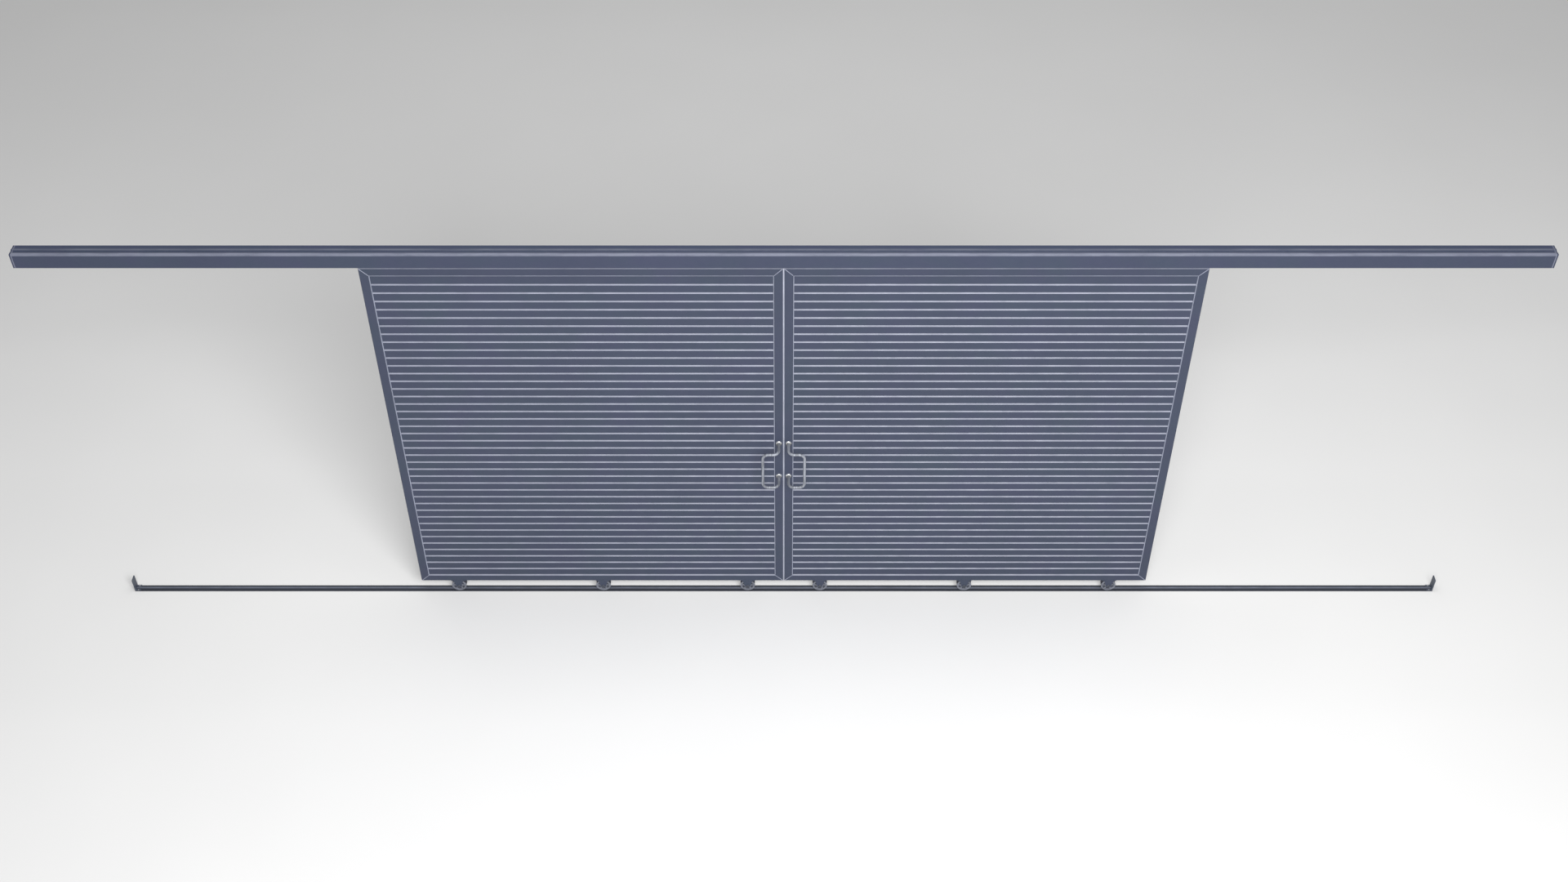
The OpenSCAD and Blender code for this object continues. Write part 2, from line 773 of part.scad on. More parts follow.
wheel(wheel_x[1]);  // right_wheel_middle
wheel(wheel_x[2]);  // right_wheel_outer
bearings(-wheel_x[0]);  // left_bearings_inner
bearings(-wheel_x[1]);  // left_bearings_middle
bearings(-wheel_x[2]);  // left_bearings_outer
bearings(wheel_x[0]);  // right_bearings_inner
bearings(wheel_x[1]);  // right_bearings_middle
bearings(wheel_x[2]);  // right_bearings_outer
guide_roller(-guide_x[0]);  // left_guide_roller_inner
guide_roller(-guide_x[1]);  // left_guide_roller_outer
guide_roller(guide_x[0]);  // right_guide_roller_inner
guide_roller(guide_x[1]);  // right_guide_roller_outer
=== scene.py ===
import math

import bmesh
import bpy
from mathutils import Matrix, Vector


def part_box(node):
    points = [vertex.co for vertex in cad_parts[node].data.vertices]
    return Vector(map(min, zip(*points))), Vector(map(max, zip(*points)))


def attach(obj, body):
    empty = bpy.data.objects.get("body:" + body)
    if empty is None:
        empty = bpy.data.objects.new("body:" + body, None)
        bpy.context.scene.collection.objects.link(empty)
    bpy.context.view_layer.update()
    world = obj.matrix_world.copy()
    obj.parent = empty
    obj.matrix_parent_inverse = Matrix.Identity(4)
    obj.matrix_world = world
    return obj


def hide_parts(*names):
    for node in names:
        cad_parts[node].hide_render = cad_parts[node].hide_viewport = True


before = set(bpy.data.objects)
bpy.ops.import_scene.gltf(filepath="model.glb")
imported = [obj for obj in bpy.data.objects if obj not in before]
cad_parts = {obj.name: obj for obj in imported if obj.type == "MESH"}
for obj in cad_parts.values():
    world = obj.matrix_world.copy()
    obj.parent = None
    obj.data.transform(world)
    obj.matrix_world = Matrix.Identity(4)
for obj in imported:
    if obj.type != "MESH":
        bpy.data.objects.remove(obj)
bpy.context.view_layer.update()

SIDES = ("left", "right")
WHEELS = ("inner", "middle", "outer")
ROLLERS = ("inner", "outer")
MM = 0.001

# The camera looks down at half a right angle, level and square to the leaves
CAMERA_SIDE = 0.0015
CAMERA_BACK = 6.8755
CAMERA_UP = 8.038
CAMERA_PITCH = math.radians(45)
LENS = 43.456
SENSOR = 36

# Edges that turn by more than this are drawn sharp
SHARP_ANGLE = math.radians(35)
# Points closer than this are one point
SAME_POINT = 1e-7


# ---------- node helpers ----------

class Shader:
    """A new material's node tree, with short calls for the nodes that the finishes share."""

    def __init__(self, name):
        self.material = bpy.data.materials.new(name)
        self.material.use_nodes = True
        self.tree = self.material.node_tree
        self.bsdf = self.tree.nodes["Principled BSDF"]
        self.place = self.node("ShaderNodeTexCoord")

    def node(self, kind, **settings):
        made = self.tree.nodes.new(kind)
        for key, value in settings.items():
            setattr(made, key, value)
        return made

    def join(self, out, into):
        self.tree.links.new(out, into)

    def put(self, socket, value):
        """A constant is set on the socket, with an alpha of 1 if it is a colour, and an output is linked to it."""
        if isinstance(value, bpy.types.NodeSocket):
            self.join(value, socket)
        elif isinstance(value, tuple):
            socket.default_value = (*value, 1)
        else:
            socket.default_value = value

    def stretched(self, stretch):
        mapping = self.node("ShaderNodeMapping")
        mapping.inputs["Scale"].default_value = stretch
        self.join(self.place.outputs["Object"], mapping.inputs["Vector"])
        return mapping.outputs["Vector"]

    def noise(self, scale, detail=3.0, stretch=(1, 1, 1), low=0.35, high=0.65):
        """Noise per metre, spread so that low becomes 0 and high becomes 1."""
        made = self.node("ShaderNodeTexNoise")
        made.inputs["Scale"].default_value = scale
        made.inputs["Detail"].default_value = detail
        self.join(self.stretched(stretch), made.inputs["Vector"])
        return self.spread(made.outputs["Fac"], low, high)

    def spread(self, value, low, high, to_low=0.0, to_high=1.0):
        """Maps low to to_low and high to to_high, held at both ends. low may be the larger of the two."""
        made = self.node("ShaderNodeMapRange")
        self.put(made.inputs["Value"], value)
        made.inputs["From Min"].default_value = low
        made.inputs["From Max"].default_value = high
        made.inputs["To Min"].default_value = to_low
        made.inputs["To Max"].default_value = to_high
        return made.outputs["Result"]

    def math(self, operation, a, b=0.0):
        made = self.node("ShaderNodeMath", operation=operation)
        self.put(made.inputs[0], a)
        self.put(made.inputs[1], b)
        return made.outputs["Value"]

    def times(self, a, b):
        return self.math("MULTIPLY", a, b)

    def mix(self, amount, a, b):
        made = self.node("ShaderNodeMix", data_type="RGBA")
        self.put(made.inputs["Factor"], amount)
        self.put(made.inputs["A"], a)
        self.put(made.inputs["B"], b)
        return made.outputs["Result"]

    def part(self, vector, axis):
        parts = self.node("ShaderNodeSeparateXYZ")
        self.join(vector, parts.inputs["Vector"])
        return parts.outputs[axis]

    def edges(self, radius):
        """1 along the edges of the shape and 0 on its flat and round faces, with the rounded normal."""
        bevel = self.node("ShaderNodeBevel", samples=6)
        bevel.inputs["Radius"].default_value = radius
        geometry = self.node("ShaderNodeNewGeometry")
        dot = self.node("ShaderNodeVectorMath", operation="DOT_PRODUCT")
        self.join(bevel.outputs["Normal"], dot.inputs[0])
        self.join(geometry.outputs["Normal"], dot.inputs[1])
        return self.spread(dot.outputs["Value"], 0.995, 0.90), bevel.outputs["Normal"]

    def facing(self, axis, low, high):
        """How far a face's own normal points along X, Y or Z, spread between low and high."""
        return self.spread(self.part(self.place.outputs["Normal"], axis), low, high)

    def sloping(self, axis, low, high):
        """The same, whichever way along the axis the face points."""
        return self.spread(self.math("ABSOLUTE", self.part(self.place.outputs["Normal"], axis)), low, high)

    def at(self, axis, low, high):
        """Where a point is along X, Y or Z, spread between low and high, in metres."""
        return self.spread(self.part(self.place.outputs["Object"], axis), low, high)

    def bump(self, height, distance, normal=None):
        """Relief of the given depth in metres, on top of the rounded normal where there is one."""
        made = self.node("ShaderNodeBump")
        made.inputs["Strength"].default_value = 1.0
        made.inputs["Distance"].default_value = distance
        self.join(height, made.inputs["Height"])
        if normal is not None:
            self.join(normal, made.inputs["Normal"])
        self.join(made.outputs["Normal"], self.bsdf.inputs["Normal"])

    def finish(self, color, roughness, metallic=0.0, specular=0.5):
        self.put(self.bsdf.inputs["Base Color"], color)
        self.put(self.bsdf.inputs["Roughness"], roughness)
        self.bsdf.inputs["Metallic"].default_value = metallic
        self.bsdf.inputs["Specular IOR Level"].default_value = specular
        return self.material


def lighter(color, by):
    return tuple(min(1.0, c * by) for c in color)


def tinted(color, tint):
    return tuple(c * t for c, t in zip(color, tint))


# ---------- finishes ----------

def ledge_highlight(s):
    """Slopes and shelves that face up, given a painted highlight that is streaked along its length."""
    streaks = s.noise(9, 4.0, stretch=(1, 0.2, 4), low=0.3, high=0.6)
    return s.times(s.facing("Z", 0.45, 0.65), s.spread(streaks, 0, 1, 0.72, 1.0))


def mitre_groove_highlight(s):
    """A painted highlight on the V grooves along the mitres, whose faces slope both sideways and up or down."""
    return s.times(s.sloping("X", 0.3, 0.45), s.sloping("Z", 0.3, 0.45))


def meeting_edge_highlight(s):
    """A painted highlight on the narrow faces beside the meeting line, where the leaves close."""
    beside = s.spread(s.math("ABSOLUTE", s.part(s.place.outputs["Object"], "X")), 6.5 * MM, 5.0 * MM)
    return s.times(beside, s.sloping("X", 0.3, 0.6))


def dusty_top(s):
    """Flat faces that look up, dulled by dust in long patches."""
    patches = s.noise(16, 4.0, stretch=(0.5, 1, 1), low=0.25, high=0.6)
    return s.times(s.facing("Z", 0.8, 0.95), s.spread(patches, 0, 1, 0.35, 0.6))


def dusty_rib(s):
    """The top of the channel's raised rib, pale with dust in long patches."""
    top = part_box("top_channel")[1].z
    patches = s.noise(7, 5.0, stretch=(0.6, 1, 1), low=0.3, high=0.6)
    on_rib = s.times(s.facing("Z", 0.8, 0.95), s.at("Z", top - 1.5 * MM, top - 1.0 * MM))
    return s.times(on_rib, s.spread(patches, 0, 1, 0.15, 0.65))


def fascia_brow_highlight(s):
    """A painted highlight: a pale strip along the top of the fascia's front, under its rounded edge."""
    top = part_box("front_fascia")[1].z
    patches = s.noise(13, 4.0, stretch=(0.7, 1, 1), low=0.3, high=0.6)
    return s.times(s.at("Z", top - 10.0 * MM, top - 9.0 * MM), s.spread(patches, 0, 1, 0.28, 0.5))


def cap_seam_highlight(s):
    """A painted highlight along the seams between the guide box and its end caps."""
    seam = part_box("front_fascia")[1].x
    from_middle = s.math("ABSOLUTE", s.part(s.place.outputs["Object"], "X"))
    off = s.math("ABSOLUTE", s.math("SUBTRACT", from_middle, seam))
    return s.spread(off, 2.4 * MM, 1.8 * MM, 0.0, 0.65)


def powder_coat(name, color, edge, edge_width=2.0 * MM, wear_and_highlight=0.5, low_wear_and_highlight=1.0, marks=()):
    """Satin powder coat: clouded hue, orange-peel bump, and a paler tone along edges and on marks, partly scuffed
    coat and partly painted highlight.
    """
    s = Shader(name)
    hue = s.noise(4.5, 3.0)
    tone = s.mix(hue, tinted(color, (0.96, 1.05, 0.97)), tinted(color, (1.06, 0.96, 1.05)))
    tone = s.mix(s.times(s.noise(1.6, 2.0), 0.5), tone, lighter(color, 0.86))
    tone = s.mix(s.times(s.noise(900, 2.0), 0.22), tone, lighter(color, 1.35))
    # The pale tone along edges is partly scuffed coat and partly painted highlight, with a smaller share on edges
    # that face down.
    rubbed_and_lit, rounded = s.edges(edge_width)
    patchy = s.spread(s.noise(9, 4.0, low=0.25, high=0.55), 0, 1, 0.6 * wear_and_highlight, wear_and_highlight)
    facing_up = s.spread(s.part(rounded, "Z"), -0.45, -0.05, low_wear_and_highlight, 1.0)
    worn_and_lit = s.times(s.times(rubbed_and_lit, patchy), facing_up)
    for mark in marks:
        worn_and_lit = s.math("MAXIMUM", worn_and_lit, mark(s))
    tone = s.mix(worn_and_lit, tone, edge)
    rough = s.spread(s.noise(25, 3.0), 0, 1, 0.42, 0.54)
    s.bump(s.noise(450, 1.0, low=0.2, high=0.8), 0.06 * MM, rounded)
    return s.finish(tone, rough, specular=0.38)


def brushed(name, color, along, roughness=(0.24, 0.38), metallic=1.0, bands=0.0, shade_below=1.0):
    """Brushed steel: fine streaks along one direction, smudges, faint bands across X, paler edges, and painted
    shade:
    the last argument scales the tone wherever the face doesn't look up."""
    s = Shader(name)
    streaks = s.noise(700, 3.0, stretch=along)
    tone = s.mix(streaks, lighter(color, 0.82), lighter(color, 1.12))
    if bands:
        stripes = s.noise(150, 1.0, stretch=(1, 0.1, 0.1), low=0.42, high=0.58)
        tone = s.mix(s.times(stripes, bands), tone, lighter(color, 0.45))
    # Paler edges: partly scuffed metal, partly painted highlight.
    rubbed_and_lit, rounded = s.edges(0.8 * MM)
    tone = s.mix(s.times(rubbed_and_lit, 0.6), tone, lighter(color, 1.5))
    # Painted shade on faces that don't look up.
    if shade_below < 1:
        tone = s.mix(s.facing("Z", 0.45, 0.0), tone, lighter(color, shade_below))
    rough = s.math("ADD", s.spread(streaks, 0, 1, *roughness), s.times(s.noise(30, 3.0), 0.08))
    s.bump(streaks, 0.02 * MM, rounded)
    return s.finish(tone, rough, metallic)


def zinc(name, color):
    """Zinc plating: pale mottled spangle under a thin dull bloom."""
    s = Shader(name)
    spangle = s.node("ShaderNodeTexVoronoi")
    spangle.inputs["Scale"].default_value = 260
    s.join(s.place.outputs["Object"], spangle.inputs["Vector"])
    bloom = s.noise(60, 4.0)
    tone = s.mix(spangle.outputs["Distance"], lighter(color, 1.15), lighter(color, 0.8))
    tone = s.mix(s.times(bloom, 0.3), tone, (0.62, 0.63, 0.64))
    _, rounded = s.edges(0.5 * MM)
    s.bump(bloom, 0.03 * MM, rounded)
    return s.finish(tone, s.spread(bloom, 0, 1, 0.3, 0.5), 0.9)


def track_metal(name, color):
    """Anodised track: drawn lines along its length, a painted highlight in a strip on the crown where the wheels
    run, and paler edges that are partly scuffed and partly painted highlight.
    """
    s = Shader(name)
    lines = s.noise(500, 2.0, stretch=(0.01, 1, 1))
    scuffs = s.noise(7, 5.0, stretch=(0.4, 1, 1))
    tone = s.mix(lines, lighter(color, 0.85), lighter(color, 1.15))
    tone = s.mix(s.times(scuffs, 0.35), tone, lighter(color, 0.7))
    # The painted highlight lies on the rail's crown, where the wheels run, above the flat base
    crown = s.times(s.facing("Z", 0.5, 0.95), s.at("Z", 4.5 * MM, 7.0 * MM))
    highlight_patches = s.spread(s.noise(11, 4.0, stretch=(1, 0, 0)), 0, 1, 0.5, 0.85)
    tone = s.mix(s.times(crown, highlight_patches), tone, lighter(color, 3.4))
    rubbed_and_lit, rounded = s.edges(0.8 * MM)
    tone = s.mix(s.times(rubbed_and_lit, 0.4), tone, lighter(color, 1.7))
    s.bump(lines, 0.02 * MM, rounded)
    return s.finish(tone, s.spread(scuffs, 0, 1, 0.42, 0.58), 0.2, specular=0.4)


def polymer(name, color, edge, edge_width=1.2 * MM, web=None):
    """Cast polymer: soft mottling, fine grain, pale corners that are partly scuffed and partly painted highlight
    and, on a wheel, painted shade on the recessed web.
    """
    s = Shader(name)
    mottle = s.noise(40, 4.0)
    tone = s.mix(mottle, lighter(color, 0.82), lighter(color, 1.18))
    if web:
        # Painted shade on the web, which is nearer to the wheel's middle plane than its rim and hub are
        off_middle = s.math("ABSOLUTE", s.part(s.place.outputs["Object"], "Y"))
        tone = s.mix(s.spread(off_middle, 13.0 * MM, 10.5 * MM), tone, web)
    rubbed_and_lit, rounded = s.edges(edge_width)
    tone = s.mix(s.times(rubbed_and_lit, 0.85), tone, edge)
    s.bump(s.noise(1500, 1.0), 0.05 * MM, rounded)
    return s.finish(tone, s.spread(mottle, 0, 1, 0.4, 0.6), specular=0.4)


def rubber(name, color, shade_below=1.0):
    """Matt rubber with a soft bloom and fine grain, and painted shade where it faces down: the last argument
    scales the tone there.
    """
    s = Shader(name)
    bloom = s.noise(12, 4.0)
    tone = s.mix(bloom, lighter(color, 0.86), lighter(color, 1.1))
    # Painted shade on faces that look down.
    tone = s.mix(s.facing("Z", -0.05, -0.3), tone, lighter(color, shade_below))
    s.bump(s.noise(1300, 2.0), 0.04 * MM)
    return s.finish(tone, s.spread(bloom, 0, 1, 0.6, 0.78), specular=0.35)


def studio_floor(name, color):
    """Matt seamless floor with the faintest mottling."""
    s = Shader(name)
    return s.finish(s.mix(s.noise(0.9, 2.0), lighter(color, 0.985), color), 0.9, specular=0.2)


# ---------- mesh helpers ----------

def new_object(name, verts, faces, material):
    """A mesh with welded points, outward faces, and sharp edges only where the surface turns sharply."""
    mesh = bpy.data.meshes.new(name)
    mesh.from_pydata([tuple(v) for v in verts], [], faces)
    work = bmesh.new()
    work.from_mesh(mesh)
    bmesh.ops.remove_doubles(work, verts=work.verts, dist=SAME_POINT)
    bmesh.ops.dissolve_degenerate(work, edges=work.edges, dist=SAME_POINT)
    bmesh.ops.recalc_face_normals(work, faces=work.faces)
    for face in work.faces:
        face.smooth = True
    for edge in work.edges:
        if len(edge.link_faces) == 2:
            edge.smooth = edge.calc_face_angle() < SHARP_ANGLE
    work.to_mesh(mesh)
    work.free()
    obj = bpy.data.objects.new(name, mesh)
    bpy.context.scene.collection.objects.link(obj)
    mesh.materials.append(material)
    return obj


def joined(name, pieces):
    """One piece from several, keeping their materials."""
    bpy.ops.object.select_all(action="DESELECT")
    for piece in pieces:
        piece.select_set(True)
    bpy.context.view_layer.objects.active = pieces[0]
    bpy.ops.object.join()
    pieces[0].name = name
    return pieces[0]


def arc(cx, cy, r, start, end, steps):
    """Points on an arc, angles in degrees."""
    angles = [math.radians(start + (end - start) * k / steps) for k in range(steps + 1)]
    return [(cx + r * math.cos(a), cy + r * math.sin(a)) for a in angles]


# Half the angle at a corner that is left as it is, and the most of a side that one corner's arc may take
NEARLY_STRAIGHT = math.radians(87)
MOST_OF_SIDE = 0.45


def fillet(points, radius, steps=4, closed=True):
    """The points of a line or outline, in 2D or 3D, with each corner turned into an arc of the radius."""
    done = []
    last = len(points) - 1
    for i, corner in enumerate(points):
        if not closed and i in (0, last):
            done.append(Vector(corner))
            continue
        here = Vector(corner).to_3d()
        before = Vector(points[i - 1]).to_3d() - here
        after = Vector(points[(i + 1) % (last + 1)]).to_3d() - here
        half = before.angle(after) / 2
        if half > NEARLY_STRAIGHT:
            done.append(Vector(corner))
            continue
        reach = min(radius / math.tan(half), MOST_OF_SIDE * before.length, MOST_OF_SIDE * after.length)
        r = reach * math.tan(half)
        centre = here + (before.normalized() + after.normalized()).normalized() * r / math.sin(half)
        spoke = here + before.normalized() * reach - centre
        normal = before.cross(after)
        turn = math.pi - 2 * half
        for k in range(steps + 1):
            point = centre + Matrix.Rotation(-turn * k / steps, 3, normal) @ spoke
            done.append(point if len(corner) == 3 else point.to_2d())
    return done


UNIT_X, UNIT_Y, UNIT_Z = Vector((1, 0, 0)), Vector((0, 1, 0)), Vector((0, 0, 1))
# Two directions across each axis, then the axis itself
LATHE_FRAMES = {"X": (UNIT_Y, UNIT_Z, UNIT_X), "Y": (UNIT_X, UNIT_Z, UNIT_Y), "Z": (UNIT_X, UNIT_Y, UNIT_Z)}


def lathe(name, profile, centre, axis, material, segments=96, shape=None):
    """Turns a closed profile of (radius, distance along the axis) once around the axis through the centre.
    shape may move a point of the profile by the angle that it stands at."""
    across, up, along = LATHE_FRAMES[axis]
    verts, faces = [], []
    count = len(profile)
    for k in range(segments):
        angle = 2 * math.pi * k / segments
        spoke = across * math.cos(angle) + up * math.sin(angle)
        for r, t in profile:
            if shape:
                r, t = shape(r, t, angle)
            verts.append(Vector(centre) + spoke * r + along * t)
    for k in range(segments):
        a, b = k * count, (k + 1) % segments * count
        faces += [(a + i, a + (i + 1) % count, b + (i + 1) % count, b + i) for i in range(count)]
    return new_object(name, verts, faces, material)


def upright_prism(name, outline, low, high, material):
    """Extrudes a closed outline in X and Y from one height to another."""
    count = len(outline)
    verts = [(x, y, z) for z in (low, high) for x, y in outline]
    faces = [tuple(range(count)), tuple(range(2 * count - 1, count - 1, -1))]
    faces += [(i, i + count, (i + 1) % count + count, (i + 1) % count) for i in range(count)]
    return new_object(name, verts, faces, material)


def tube(name, path, radius, material, sides=28):
    """Sweeps a circle along a path without twist. The radius may be a function of the point's number."""
    verts, faces = [], []
    count = len(path)
    ahead = [(path[min(i + 1, count - 1)] - path[max(i - 1, 0)]).normalized() for i in range(count)]
    side = ahead[0].orthogonal().normalized()
    for i, point in enumerate(path):
        side = (side - ahead[i] * side.dot(ahead[i])).normalized()
        up = ahead[i].cross(side)
        r = radius(i) if callable(radius) else radius
        verts += [point + side * r * math.cos(a) + up * r * math.sin(a)
                  for a in (2 * math.pi * k / sides for k in range(sides))]
    for i in range(count - 1):
        a, b = i * sides, (i + 1) * sides
        faces += [(a + k, a + (k + 1) % sides, b + (k + 1) % sides, b + k) for k in range(sides)]
    faces += [tuple(range(sides)), tuple(range(count * sides - 1, (count - 1) * sides - 1, -1))]
    return new_object(name, verts, faces, material)


def quarter_turn(steps):
    """Angles from 0 to a right angle."""
    return [math.radians(90 * k / steps) for k in range(steps + 1)]


def hexagon(across_flats):
    """A function that gives the radius of a hexagon at an angle."""
    def radius(angle):
        turned = (angle + math.pi / 6) % (math.pi / 3) - math.pi / 6
        return across_flats / 2 / math.cos(turned)
    return radius


def fit_out(piece, body, slot, *nodes):
    """A finished piece's body and the CAD nodes that it stands for. The slot argument is not used."""
    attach(piece, body)
    if nodes:
        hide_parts(*nodes)


# ---------- the finishes of this object ----------

SLATE = (0.036, 0.046, 0.080)
BOX_SLATE = (0.036, 0.046, 0.083)
# Pale colour for edges and marks: partly scuffed coat, partly painted highlight.
WORN_AND_LIT = (0.27, 0.285, 0.36)
leaf_coat = powder_coat("leaf_coat", SLATE, WORN_AND_LIT, edge_width=1.5 * MM, wear_and_highlight=0.35,
                        marks=(ledge_highlight, mitre_groove_highlight))
meeting_coat = powder_coat("meeting_coat", SLATE, WORN_AND_LIT, edge_width=1.5 * MM, wear_and_highlight=0.35,
                           marks=(mitre_groove_highlight, meeting_edge_highlight))
slat_coat = powder_coat("slat_coat", SLATE, WORN_AND_LIT, edge_width=1.2 * MM, wear_and_highlight=0.5, marks=(ledge_highlight,))
fascia_coat = powder_coat("fascia_coat", BOX_SLATE, WORN_AND_LIT, edge_width=3.0 * MM, wear_and_highlight=0.9, low_wear_and_highlight=0.1,
                          marks=(dusty_top, fascia_brow_highlight, cap_seam_highlight))
cap_coat = powder_coat("cap_coat", BOX_SLATE, WORN_AND_LIT, edge_width=1.2 * MM, wear_and_highlight=0.15, low_wear_and_highlight=0.1,
                       marks=(cap_seam_highlight,))
channel_coat = powder_coat("channel_coat", lighter(BOX_SLATE, 1.05), (0.14, 0.155, 0.20), edge_width=1.5 * MM,
                           wear_and_highlight=0.6, low_wear_and_highlight=0.1, marks=(dusty_rib, cap_seam_highlight))
bracket_coat = powder_coat("bracket_coat", SLATE, (0.16, 0.175, 0.22), edge_width=1.2 * MM)
stop_coat = powder_coat("stop_coat", (0.055, 0.066, 0.092), (0.2, 0.215, 0.26), edge_width=1.5 * MM)
rail_metal = track_metal("rail_metal", (0.040, 0.045, 0.060))
bar_steel = brushed("bar_steel", (0.34, 0.36, 0.41), (1, 1, 0.04), (0.40, 0.50), metallic=0.4, bands=0.8)
bright_steel = brushed("bright_steel", (0.80, 0.81, 0.83), (1, 1, 1), (0.16, 0.24), metallic=0.75, shade_below=0.2)
bolt_steel = brushed("bolt_steel", (0.070, 0.078, 0.100), (1, 0.06, 1), (0.34, 0.46), metallic=0.4)
bearing_steel = brushed("bearing_steel", (0.42, 0.44, 0.50), (1, 0.06, 1))
plated = zinc("plated", (0.50, 0.51, 0.53))
screw_black = brushed("screw_black", (0.045, 0.050, 0.066), (1, 1, 1), (0.36, 0.5), metallic=0.3)
mill_aluminium = brushed("mill_aluminium", (0.62, 0.63, 0.65), (0.04, 1, 1), (0.35, 0.5))
wheel_polymer = polymer("wheel_polymer", (0.150, 0.160, 0.195), (0.30, 0.32, 0.38), 1.8 * MM,
                        web=(0.032, 0.037, 0.052))
roller_polymer = polymer("roller_polymer", (0.62, 0.62, 0.59), (0.75, 0.75, 0.73))
seal_rubber = rubber("seal_rubber", (0.46, 0.48, 0.56))
gasket_rubber = rubber("gasket_rubber", (0.27, 0.29, 0.37), shade_below=0.42)

NODE_FINISH = {
    "top_channel": channel_coat, "front_fascia": fascia_coat,
    "left_end_cap": cap_coat, "right_end_cap": cap_coat, "end_cap_screws": plated,
    "floor_track": rail_metal, "left_end_stop": stop_coat, "right_end_stop": stop_coat,
    "end_stop_screws": plated, "right_meeting_seal": seal_rubber,
}
LEAF_FINISH = {
    "top_rail": leaf_coat, "bottom_rail": leaf_coat, "outer_stile": leaf_coat, "meeting_stile": meeting_coat,
    "slats": slat_coat, "corner_keys": mill_aluminium, "back_post": leaf_coat,
    "wheel_brackets": bracket_coat, "bracket_screws": plated, "axle_bolts": bolt_steel,
    "axle_nuts": bolt_steel, "axle_spacers": plated, "guide_plates": plated, "guide_bolts": plated,
    "handle": bar_steel, "handle_rosettes": bright_steel, "handle_bolts": plated,
}
for side in SIDES:
    for part, finish in LEAF_FINISH.items():
        NODE_FINISH[f"{side}_{part}"] = finish
    for pos in WHEELS:
        NODE_FINISH[f"{side}_wheel_{pos}"] = wheel_polymer
        NODE_FINISH[f"{side}_bearings_{pos}"] = bearing_steel
    for pos in ROLLERS:
        NODE_FINISH[f"{side}_guide_roller_{pos}"] = roller_polymer
for name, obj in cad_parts.items():
    obj.data.materials.clear()
    obj.data.materials.append(NODE_FINISH[name])


# ---------- wheels ----------

WHEEL_RIBS = 6
RIB_HALF = math.radians(7)
RIB_FLANK = math.radians(3)
RIB_TALL = 4 * MM
RIM_DEEP = 9 * MM
HUB = 20 * MM
BEARING_SEAT = 16 * MM
WEB_DIP = 7 * MM
WEB_SLOPE = 1 * MM
HUB_DIP = 2 * MM
# The groove is round like the rail that it runs on, and its shoulders are rounded
RAIL = 8.5 * MM
GROOVE_DEEP = 6.3 * MM
SHOULDER_DEEP = 0.6 * MM
SHOULDER_WIDE = 1.2 * MM
AXLE = 6 * MM


def rib_height(angle):
    """1 on a rib, 0 between two ribs, with sloping flanks."""
    spacing = 2 * math.pi / WHEEL_RIBS
    off = abs((angle + spacing / 2) % spacing - spacing / 2)
    return min(1.0, max(0.0, (RIB_HALF + RIB_FLANK - off) / RIB_FLANK))


def wheel_profile(radius, half):
    """Half a wheel's section from the bore out to the groove's middle, then its mirror image."""
    rim = radius - RIM_DEEP
    web = half - WEB_DIP
    groove_centre = radius - GROOVE_DEEP + RAIL
    reach = math.sqrt(RAIL ** 2 - (groove_centre - radius + SHOULDER_DEEP) ** 2)
    corners = [(BEARING_SEAT, 0), (BEARING_SEAT, half - HUB_DIP), (HUB, half - HUB_DIP), (HUB + WEB_SLOPE, web),
               (rim - WEB_SLOPE, web), (rim, half), (radius, half), (radius, reach + SHOULDER_WIDE)]
    outside = [tuple(p) for p in fillet(corners, 1.0 * MM, closed=False)]
    steps = 10
    edge = math.asin(reach / RAIL)
    groove = [(groove_centre - RAIL * math.cos(edge * k / steps), RAIL * math.sin(edge * k / steps))
              for k in range(steps, -1, -1)]
    upper = outside + groove
    return upper + [(r, -t) for r, t in reversed(upper) if t > 0]


def make_wheel(side, pos):
    """A grooved wheel with a ribbed web on each face."""
    node = f"{side}_wheel_{pos}"
    low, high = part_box(node)
    centre = (low + high) / 2
    radius = (high.z - low.z) / 2
    half = (high.y - low.y) / 2
    web_start, web_end = HUB + WEB_SLOPE, radius - RIM_DEEP - WEB_SLOPE
    near = 0.5 * MM

    def ribbed(r, t, angle):
        """Lifts the web's points on both faces of the wheel into ribs."""
        on_web = web_start - near < r < web_end + near and abs(abs(t) - (half - WEB_DIP)) < near
        return (r, t + math.copysign(RIB_TALL * rib_height(angle), t)) if on_web else (r, t)

    wheel = lathe(f"{side}_{pos}_wheel_body", wheel_profile(radius, half), centre, "Y", wheel_polymer,
                  segments=180, shape=ribbed)
    fit_out(wheel, f"{side}_{pos}_wheel", "wheel_polymer", node)


def make_bearings(side, pos):
    """Two bearings, each an outer race, an inner race and a recessed shield between them."""
    node = f"{side}_bearings_{pos}"
    low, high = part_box(node)
    centre = (low + high) / 2
    outer = (high.z - low.z) / 2
    bore = AXLE + 0.05 * MM
    near, far = 3 * MM, (high.y - low.y) / 2
    shield = far - 0.8 * MM
    outer_race, inner_race, slope = 2.4 * MM, 2.5 * MM, 0.2 * MM
    corners = [(bore, near), (outer, near), (outer, far), (outer - outer_race, far),
               (outer - outer_race - slope, shield), (bore + inner_race + slope, shield), (bore + inner_race, far),
               (bore, far)]
    profile = [tuple(p) for p in fillet(corners, 0.4 * MM, steps=3)]
    pair = [lathe("bearing", [(r, s * t) for r, t in profile], centre, "Y", bearing_steel) for s in (-1, 1)]
    fit_out(joined(f"{side}_{pos}_bearing_pair", pair), f"{side}_{pos}_wheel", "zinc_steel", node)


def wheel_centres(side):
    boxes = [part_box(f"{side}_wheel_{pos}") for pos in WHEELS]
    return [(low + high) / 2 for low, high in boxes]


